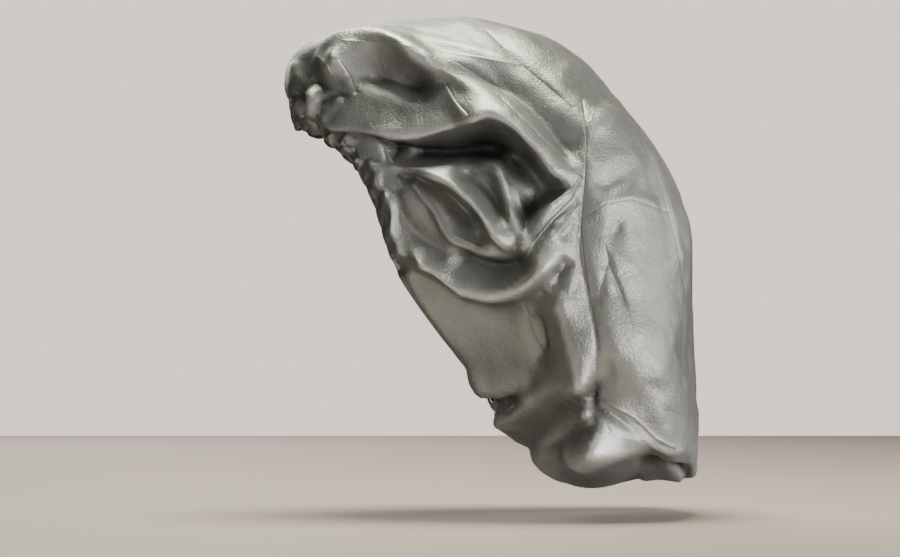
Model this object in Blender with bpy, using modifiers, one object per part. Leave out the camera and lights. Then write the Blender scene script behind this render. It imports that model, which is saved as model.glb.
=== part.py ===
# Satin sleep bonnet as it hangs when worn: a wide bag of satin gathered into an
# elastic casing that grips the head from the brow to the nape.
#
# Metres, +Z up. The wearer faces -Y and their left side is +X. The origin is the
# point inside the crown that rests on the top of the head.

import math
from collections import namedtuple

import bpy
import numpy as np

# Size of the hanging bonnet
LENGTH = 0.288  # brow to the back of the bag, along Y
DROP = 0.326  # top of the crown to the lowest fold, along Z
HALF_WIDTH = 0.1025  # middle plane to the widest part of the bag

# Cloth and casing
CLOTH = 0.0012  # wall of the satin bag
CASING_WIDTH = 0.026  # free edge to the gathering seam
CASING_THICKNESS = 0.0026  # satin, flat elastic and satin again
SEAM_GAP = 0.0011  # between the casing and the bag

# Gathers along the seam: small pleats over fewer wide ones, which aren't quite evenly spaced
PLEATS = 22
WIDE_PLEATS = 15
WIDE_SHARE = 0.35
PLEAT_DRIFT = 0.9
PLEAT_HEIGHT = 0.0026
PLEAT_REACH = 0.022  # how far the small pleats run into the bag
BILLOW_REACH = 0.014  # how soon behind the seam the large folds start
CALM_ANGLE = math.radians(128)  # the gathers lie flat beside the neck
CALM_SPREAD = math.radians(26)
CALM = 0.75

# Large folds: the tables below give shares of these two
FOLD_HEIGHT = 0.016
FOLD_WIDTH = 0.016
MIDDLE_FADE = 0.3  # share of HALF_WIDTH over which a one-sided fold rises from the middle plane

# Mesh: columns run round the opening and lie closer at the sides, rows run back to the tail
COLUMNS = 100
SIDE_CROWDING = 0.12
ROWS = 25
ROW_CROWDING = 1.2
CASING_STEPS = 2
PROFILE_STEPS = 240
PATH_STEPS = 40

SATIN = ("satin", (0.36, 0.37, 0.34), 0.34, 0.55)
CASING_SATIN = ("casing_satin", (0.33, 0.34, 0.31), 0.38, 0.5)

# Rings of the bag from the free edge to the tail. A ring passes through a top and
# a low point on the middle plane, and a shoulder, side and hip point on each side.
# Places are (y, z) from the origin as shares of LENGTH and DROP, and half widths
# are shares of HALF_WIDTH.
Ring = namedtuple("Ring", "name top shoulder side hip low half_widths")
RINGS = (
    Ring("edge", (-0.33, -0.23), (-0.21, -0.29), (-0.11, -0.47), (0.02, -0.67), (0.15, -0.82), (0.53, 0.71, 0.59)),
    Ring("seam", (-0.35, -0.15), (-0.16, -0.24), (-0.04, -0.42), (0.10, -0.64), (0.20, -0.87), (0.59, 0.77, 0.66)),
    Ring("brow", (-0.32, -0.07), (-0.08, -0.19), (0.04, -0.40), (0.17, -0.63), (0.25, -0.91), (0.68, 0.86, 0.78)),
    Ring("temple", (-0.21, -0.025), (0.00, -0.17), (0.12, -0.40), (0.24, -0.64), (0.29, -0.96), (0.72, 0.92, 0.88)),
    Ring("crown", (-0.02, 0.002), (0.11, -0.16), (0.22, -0.41), (0.30, -0.67), (0.34, -0.99), (0.75, 0.97, 0.93)),
    Ring("vertex", (0.17, -0.01), (0.24, -0.17), (0.32, -0.44), (0.37, -0.70), (0.40, -1.00), (0.76, 0.99, 0.95)),
    Ring("back", (0.34, -0.07), (0.37, -0.22), (0.41, -0.49), (0.43, -0.75), (0.46, -0.99), (0.76, 0.99, 0.96)),
    Ring("nape", (0.47, -0.19), (0.47, -0.31), (0.49, -0.57), (0.50, -0.80), (0.52, -0.98), (0.72, 0.95, 0.93)),
    Ring("bag", (0.57, -0.315), (0.54, -0.42), (0.55, -0.65), (0.55, -0.85), (0.57, -0.98), (0.65, 0.86, 0.86)),
    Ring("fall", (0.63, -0.45), (0.59, -0.54), (0.59, -0.74), (0.58, -0.88), (0.60, -0.98), (0.54, 0.70, 0.72)),
    Ring("tail", (0.63, -0.62), (0.617, -0.68), (0.617, -0.81), (0.61, -0.90), (0.63, -0.98), (0.37, 0.49, 0.51)),
    Ring("tip", (0.645, -0.81), (0.64, -0.85), (0.64, -0.89), (0.64, -0.93), (0.645, -0.97), (0.16, 0.21, 0.21)),
    Ring("end", (0.65, -0.92), (0.65, -0.92), (0.65, -0.92), (0.65, -0.92), (0.65, -0.92), (0, 0, 0)),
)

# Folds, each laid along a path seen from the side. A path's points are (y, z)
# shares as above. height and roll are shares of FOLD_HEIGHT, and above and below
# are shares of FOLD_WIDTH. roll drags the crest down over what lies under it.
# sharpness is 2 for a soft wave and 1 for a pressed crease. start and end say how
# much of the path each end takes to rise.
Fold = namedtuple("Fold", "name side path height above below roll sharpness start end")
FOLDS = (
    Fold("brow_roll", 1, ((-0.27, -0.22), (-0.12, -0.235), (0.03, -0.225), (0.16, -0.20), (0.26, -0.24), (0.34, -0.33)),
         0.75, 1.7, 0.75, 0.3, 2, 0.1, 0.3),
    Fold("brow_hollow", 1, ((-0.18, -0.27), (-0.02, -0.285), (0.12, -0.29), (0.22, -0.34), (0.27, -0.41)),
         -1.0, 0.85, 1.2, 0, 2, 0.25, 0.35),
    Fold("temple_roll", 1, ((-0.14, -0.32), (-0.05, -0.33), (0.04, -0.36), (0.12, -0.41), (0.20, -0.50)),
         0.6, 1.0, 0.85, 0.1, 2, 0.3, 0.35),
    Fold("swag", 1, ((0.03, -0.54), (0.11, -0.59), (0.20, -0.595), (0.28, -0.54), (0.35, -0.44)),
         0.6, 1.0, 0.9, 0.05, 2, 0.3, 0.3),
    Fold("swag_hollow", 1, ((0.03, -0.46), (0.10, -0.505), (0.17, -0.52), (0.23, -0.49)),
         -0.4, 0.9, 0.8, 0, 2, 0.35, 0.4),
    Fold("cross_fold", 1, ((0.20, -0.51), (0.28, -0.43), (0.36, -0.37)),
         0.25, 0.9, 1.0, 0, 2, 0.35, 0.3),
    Fold("side_crease", 1, ((0.37, -0.22), (0.36, -0.38), (0.36, -0.54), (0.39, -0.70), (0.39, -0.79)),
         0.3, 1.3, 1.6, 0, 1.4, 0.25, 0.25),
    Fold("side_hollow", 1, ((0.25, -0.62), (0.28, -0.69), (0.32, -0.76)),
         -0.4, 1.3, 1.3, 0, 2, 0.4, 0.4),
    Fold("belly_edge", 1, ((0.39, -0.79), (0.32, -0.77), (0.26, -0.80), (0.19, -0.84)),
         0.45, 1.0, 1.0, 0, 2, 0.3, 0.3),
    Fold("belly_roll", 1, ((0.39, -0.80), (0.31, -0.87), (0.30, -0.95)),
         0.45, 1.0, 1.0, 0, 2, 0.3, 0.3),
    Fold("nape_pocket", 1, ((0.14, -0.81), (0.20, -0.78), (0.25, -0.78)),
         -0.4, 1.0, 1.0, 0, 2, 0.4, 0.4),
    Fold("tail_crease", 1, ((0.39, -0.80), (0.48, -0.85), (0.55, -0.90)),
         0.35, 0.9, 1.1, 0, 1.5, 0.3, 0.3),
    Fold("tail_dip", 1, ((0.50, -0.93), (0.56, -0.94), (0.61, -0.94)),
         -0.4, 0.8, 0.8, 0, 2, 0.4, 0.4),
    Fold("back_crease", 1, ((0.50, -0.24), (0.56, -0.41), (0.60, -0.53)),
         0.22, 1.0, 1.0, 0, 1.4, 0.3, 0.3),
    Fold("top_crease", 1, ((-0.28, -0.09), (-0.19, -0.06), (-0.07, -0.06), (0.05, -0.08), (0.21, -0.10)),
         0.25, 0.9, 0.9, 0, 1.5, 0.3, 0.3),
    Fold("brow_dip", 1, ((-0.22, -0.13), (-0.10, -0.15), (0.05, -0.155), (0.14, -0.16)),
         -0.45, 1.1, 1.2, 0, 2, 0.35, 0.35),
    Fold("far_brow_roll", -1, ((-0.26, -0.21), (-0.12, -0.22), (0.02, -0.24), (0.16, -0.28), (0.28, -0.37)),
         0.7, 1.6, 0.9, 0.2, 2, 0.12, 0.3),
    Fold("far_brow_hollow", -1, ((-0.17, -0.28), (-0.03, -0.30), (0.10, -0.35), (0.20, -0.43)),
         -0.7, 0.9, 1.1, 0, 2, 0.25, 0.35),
    Fold("far_swag", -1, ((-0.04, -0.40), (0.07, -0.45), (0.18, -0.48), (0.30, -0.46), (0.38, -0.38)),
         0.6, 1.1, 0.9, 0.1, 2, 0.25, 0.3),
    Fold("far_swag_hollow", -1, ((0.03, -0.53), (0.12, -0.57), (0.23, -0.58), (0.32, -0.53)),
         -0.45, 1.0, 1.0, 0, 2, 0.3, 0.3),
    Fold("far_hip_fold", -1, ((0.11, -0.65), (0.20, -0.69), (0.32, -0.71), (0.42, -0.68)),
         0.5, 1.1, 0.9, 0, 2, 0.3, 0.3),
    Fold("far_side_crease", -1, ((0.42, -0.24), (0.41, -0.40), (0.42, -0.58), (0.44, -0.78)),
         0.28, 1.3, 1.4, 0, 1.5, 0.25, 0.25),
    Fold("far_belly", -1, ((0.25, -0.82), (0.33, -0.86), (0.44, -0.87), (0.54, -0.91)),
         0.45, 1.1, 1.0, 0, 2, 0.3, 0.3),
)


def clear_scene():
    for obj in list(bpy.data.objects):
        bpy.data.objects.remove(obj, do_unlink=True)


def smooth_step(t):
    t = np.clip(t, 0, 1)
    return t * t * (3 - 2 * t)


def through_points(rows, at):
    """Values of the natural cubic spline through evenly spaced rows, at positions 0 to 1."""
    rows = np.asarray(rows, float)
    count = len(rows)
    inner = np.arange(1, count - 1)
    system = np.eye(count)
    system[inner, inner - 1] = 1
    system[inner, inner] = 4
    system[inner, inner + 1] = 1
    bend = np.zeros_like(rows)
    bend[1:-1] = 6 * (rows[2:] - 2 * rows[1:-1] + rows[:-2])
    curve = np.linalg.solve(system, bend)
    place = np.clip(at, 0, 1) * (count - 1)
    first = np.minimum(place.astype(int), count - 2)
    t = (place - first)[..., None]
    s = 1 - t
    bent = (s**3 - s) * curve[first] + (t**3 - t) * curve[first + 1]
    return s * rows[first] + t * rows[first + 1] + bent / 6


def ring_weights(angle):
    """Weights of a ring's five middle-plane places and of its three half widths at an angle.

    0 is the top, a quarter turn the left side and a half turn the low point. The
    curve is the sum of cosines, and of sines for the width, that meets the points.
    """
    five = np.arange(5) * math.pi / 4
    three = five[1:4]
    even = np.linalg.inv(np.cos(np.outer(five, np.arange(5))))
    odd = np.linalg.inv(np.sin(np.outer(three, np.arange(1, 4))))
    places = np.cos(angle[..., None] * np.arange(5)) @ even
    widths = np.sin(angle[..., None] * np.arange(1, 4)) @ odd
    return places, widths


def bag_form(angle, along):
    """Points of the bag without its folds, at angles round it and 0 to 1 from edge to tail."""
    seat_lift = CLOTH / 2  # the wall's inner face passes through the origin
    places = [[*r.top, *r.shoulder, *r.side, *r.hip, *r.low] for r in RINGS]
    ring = through_points(places, along).reshape(*along.shape, 5, 2)
    half_widths = through_points([r.half_widths for r in RINGS], along)
    place_weights, width_weights = ring_weights(angle)
    middle = (ring * place_weights[..., None]).sum(axis=-2)
    x = (half_widths * width_weights).sum(axis=-1) * HALF_WIDTH
    return np.stack([x, middle[..., 0] * LENGTH, middle[..., 1] * DROP + seat_lift], axis=-1)


def from_edge(angles):
    """Distance from the free edge along each column: (positions, distances by column)."""
    along = np.linspace(0, 1, PROFILE_STEPS)
    points = bag_form(*np.broadcast_arrays(angles[None, :], along[:, None]))
    steps = np.linalg.norm(np.diff(points, axis=0), axis=-1)
    return along, np.vstack([np.zeros(len(angles)), np.cumsum(steps, axis=0)])


def outward(points):
    """Unit normals of a grid whose rows run from edge to tail and columns close round it."""
    down = np.gradient(points, axis=0)
    around = np.roll(points, -1, axis=1) - np.roll(points, 1, axis=1)
    normal = np.cross(around, down)
    length = np.linalg.norm(normal, axis=-1, keepdims=True)
    return normal / np.maximum(length, 1e-9)


def fold_shift(points, normals, fold):
    """How far one fold moves each point, from its distance to the fold's path seen from the side."""
    scale = np.array([LENGTH, DROP])
    path = through_points(fold.path, np.linspace(0, 1, PATH_STEPS)) * scale
    start, run = path[:-1], np.diff(path, axis=0)
    seen = points[..., None, 1:] - start
    share = np.clip((seen * run).sum(-1) / (run * run).sum(-1), 0, 1)
    gap = seen - share[..., None] * run
    distance = np.linalg.norm(gap, axis=-1)
    nearest = distance.argmin(axis=-1)[..., None]

    def at_nearest(values):
        return np.take_along_axis(values, nearest, axis=-1)[..., 0]

    distance = at_nearest(distance)
    along = (nearest[..., 0] + at_nearest(share)) / len(run)
    direction = (run / np.linalg.norm(run, axis=-1, keepdims=True))[nearest[..., 0]]
    over = direction[..., 0] * at_nearest(gap[..., 1]) - direction[..., 1] * at_nearest(gap[..., 0])
    width = np.where(over > 0, fold.above, fold.below) * FOLD_WIDTH
    rise = smooth_step(along / fold.start) * smooth_step((1 - along) / fold.end)
    bump = rise * np.exp(-((distance / width) ** fold.sharpness))
    if fold.side:
        bump = bump * smooth_step(fold.side * points[..., 0] / (MIDDLE_FADE * HALF_WIDTH))
    drag = bump * fold.roll * FOLD_HEIGHT
    shift = normals * (bump * fold.height * FOLD_HEIGHT)[..., None]
    shift[..., 1] += drag * direction[..., 1]
    shift[..., 2] -= drag * direction[..., 0]
    return shift


def pleats(angle, behind_seam):
    """Height of the small gathers, which fade into the bag and flatten beside the neck."""
    around = np.abs(np.mod(angle + math.pi, math.tau) - math.pi)
    strength = 1 - CALM * np.exp(-(((around - CALM_ANGLE) / CALM_SPREAD) ** 2))
    drift = PLEAT_DRIFT * np.sin(3 * angle)
    wave = np.cos(PLEATS * angle + drift) + WIDE_SHARE * np.cos(WIDE_PLEATS * angle + drift)
    return PLEAT_HEIGHT * strength * wave * np.exp(-np.maximum(behind_seam, 0) / PLEAT_REACH)


def gathered_grid(angles, first, last, rows):
    """Grid of points between two distances behind the seam. last is None for the tail."""
    along, lengths = from_edge(angles)
    starts = np.array([np.interp(CASING_WIDTH + first, column, along) for column in lengths.T])
    if last is None:
        ends = np.ones(len(angles))
    else:
        ends = np.array([np.interp(CASING_WIDTH + last, column, along) for column in lengths.T])
    share = np.linspace(0, 1, rows + 1)[:, None]
    if last is None:
        share = share**ROW_CROWDING  # rows lie closer together near the seam
    place = starts + (ends - starts) * share
    angle = np.broadcast_to(angles[None, :], place.shape)
    behind = np.array([np.interp(p, along, c) for p, c in zip(place.T, lengths.T)]).T - CASING_WIDTH
    points = bag_form(angle, place)
    normals = outward(points)
    billow = smooth_step(behind / BILLOW_REACH)[..., None]
    moved = points + normals * pleats(angle, behind)[..., None]
    for fold in FOLDS:
        moved = moved + billow * fold_shift(points, normals, fold)
    return moved


def eased(points, passes=2):
    """The grid with each inner point drawn halfway to its neighbours' mean, as cloth relaxes."""
    for _ in range(passes):
        beside = (np.roll(points, 1, axis=1) + np.roll(points, -1, axis=1))[2:-1]
        mean = (beside + points[1:-2] + points[3:]) / 4
        points = np.vstack([points[:2], (points[2:-1] + mean) / 2, points[-1:]])
    return points


def closed_round(points, close_tail):
    """Vertices and faces of a grid that closes round, with its last row drawn to one point if asked."""
    rows, columns = points.shape[:2]
    index = np.arange(rows * columns).reshape(rows, columns)
    beside = np.roll(index, -1, axis=1)
    last = rows - 2 if close_tail else rows - 1
    quads = np.stack([index[:-1], beside[:-1], beside[1:], index[1:]], axis=-1)[:last].reshape(-1, 4)
    vertices = points.reshape(-1, 3)
    faces = quads.tolist()
    if close_tail:
        tail = (rows - 1) * columns
        vertices = np.vstack([vertices[:tail], points[-1].mean(axis=0)])
        faces += [[int(a), int(b), tail] for a, b in zip(index[-2], beside[-2])]
    return vertices, faces


def material(name, colour, roughness, metallic):
    made = bpy.data.materials.new(name)
    made.use_nodes = True
    shader = made.node_tree.nodes["Principled BSDF"]
    shader.inputs["Base Color"].default_value = (*colour, 1)
    shader.inputs["Roughness"].default_value = roughness
    shader.inputs["Metallic"].default_value = metallic
    return made


def cloth_object(name, grid, thickness, finish, collection, close_tail=False):
    """A sheet of the given points with a wall of even thickness, as one closed solid."""
    vertices, faces = closed_round(grid, close_tail)
    mesh = bpy.data.meshes.new(name)
    mesh.from_pydata(vertices.tolist(), [], faces)
    mesh.shade_smooth()
    mesh.materials.append(material(*finish))
    made = bpy.data.objects.new(name, mesh)
    collection.objects.link(made)
    wall = made.modifiers.new("wall", "SOLIDIFY")
    wall.thickness = thickness
    wall.offset = 0
    wall.use_quality_normals = True
    return made


def column_angles():
    even = np.arange(COLUMNS) * math.tau / COLUMNS
    return even + SIDE_CROWDING * np.sin(2 * even)


def make_crown(collection):
    grid = eased(gathered_grid(column_angles(), SEAM_GAP / 2, None, ROWS))
    return cloth_object("crown", grid, CLOTH, SATIN, collection, close_tail=True)


def make_casing(collection):
    grid = gathered_grid(column_angles(), -CASING_WIDTH, -SEAM_GAP / 2, CASING_STEPS)
    return cloth_object("elastic_casing", grid, CASING_THICKNESS, CASING_SATIN, collection)


def main():
    clear_scene()
    bonnet = bpy.data.collections.new("sleep_bonnet")
    bpy.context.scene.collection.children.link(bonnet)
    make_crown(bonnet)
    make_casing(bonnet)


main()
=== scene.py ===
# The satin sleep bonnet as it looks when worn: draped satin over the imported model.
import math
from collections import namedtuple

import bpy
import numpy as np
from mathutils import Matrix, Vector


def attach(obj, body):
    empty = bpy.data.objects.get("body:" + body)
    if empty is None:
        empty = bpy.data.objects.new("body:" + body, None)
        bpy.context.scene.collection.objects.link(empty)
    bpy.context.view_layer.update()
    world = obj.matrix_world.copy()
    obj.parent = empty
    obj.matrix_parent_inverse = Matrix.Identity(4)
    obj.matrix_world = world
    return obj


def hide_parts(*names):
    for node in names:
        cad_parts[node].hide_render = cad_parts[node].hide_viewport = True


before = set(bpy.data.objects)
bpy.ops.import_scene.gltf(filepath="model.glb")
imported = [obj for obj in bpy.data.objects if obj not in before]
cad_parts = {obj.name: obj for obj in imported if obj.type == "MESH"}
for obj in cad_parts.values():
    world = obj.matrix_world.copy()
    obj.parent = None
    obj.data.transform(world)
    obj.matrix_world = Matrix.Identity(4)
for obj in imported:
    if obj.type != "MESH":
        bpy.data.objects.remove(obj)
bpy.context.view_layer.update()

tau = math.tau
photo = {"seatX": 430, "seatY": 21.5, "metresPerPixel": 0.0007, "width": 900, "height": 557}

# What the whole bonnet is worked out from, in metres. The rings' shares follow the first three.
bonnetForm = {
    "length": 0.288, "drop": 0.326, "halfWidth": 0.1025, "seatLift": 0.0006, "casingWidth": 0.026,
    "billowReach": 0.009, "girth": 0.6, "profileSteps": 240,
}

# Rings from the free edge to the tail: five places seen from the side, then three half widths.
Ring = namedtuple("Ring", "name top shoulder side hip low halfWidths")
rings = [Ring(*row) for row in (
    ("edge", (-0.33, -0.23), (-0.21, -0.29), (-0.11, -0.47), (0.02, -0.67), (0.15, -0.82),
     (0.53, 0.71, 0.59)),
    ("seam", (-0.339, -0.15), (-0.16, -0.24), (-0.04, -0.42), (0.1, -0.64), (0.2, -0.87),
     (0.59, 0.77, 0.66)),
    ("brow", (-0.32, -0.07), (-0.08, -0.19), (0.04, -0.4), (0.17, -0.63), (0.25, -0.91),
     (0.68, 0.86, 0.78)),
    ("temple", (-0.21, -0.025), (0, -0.17), (0.12, -0.4), (0.24, -0.64), (0.29, -0.96), (0.72, 0.92, 0.88)),
    ("crown", (-0.02, 0.002), (0.11, -0.16), (0.22, -0.41), (0.3, -0.67), (0.34, -0.99),
     (0.75, 0.97, 0.93)),
    ("vertex", (0.17, -0.01), (0.24, -0.17), (0.32, -0.44), (0.37, -0.7), (0.4, -1), (0.76, 0.99, 0.95)),
    ("back", (0.34, -0.07), (0.37, -0.22), (0.41, -0.49), (0.43, -0.75), (0.46, -0.99), (0.76, 0.99, 0.96)),
    ("nape", (0.47, -0.19), (0.47, -0.31), (0.49, -0.57), (0.5, -0.8), (0.52, -0.98), (0.72, 0.95, 0.93)),
    ("bag", (0.57, -0.315), (0.54, -0.42), (0.55, -0.65), (0.55, -0.85), (0.57, -0.98), (0.65, 0.86, 0.86)),
    ("fall", (0.63, -0.45), (0.59, -0.54), (0.59, -0.74), (0.58, -0.88), (0.6, -0.98), (0.54, 0.7, 0.72)),
    ("tail", (0.63, -0.62), (0.617, -0.68), (0.617, -0.81), (0.61, -0.9), (0.63, -0.98),
     (0.37, 0.49, 0.51)),
    ("tip", (0.645, -0.81), (0.64, -0.85), (0.64, -0.89), (0.64, -0.93), (0.645, -0.97),
     (0.16, 0.21, 0.21)),
    ("end", (0.65, -0.92), (0.65, -0.92), (0.65, -0.92), (0.65, -0.92), (0.65, -0.92), (0, 0, 0)),
)]

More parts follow.
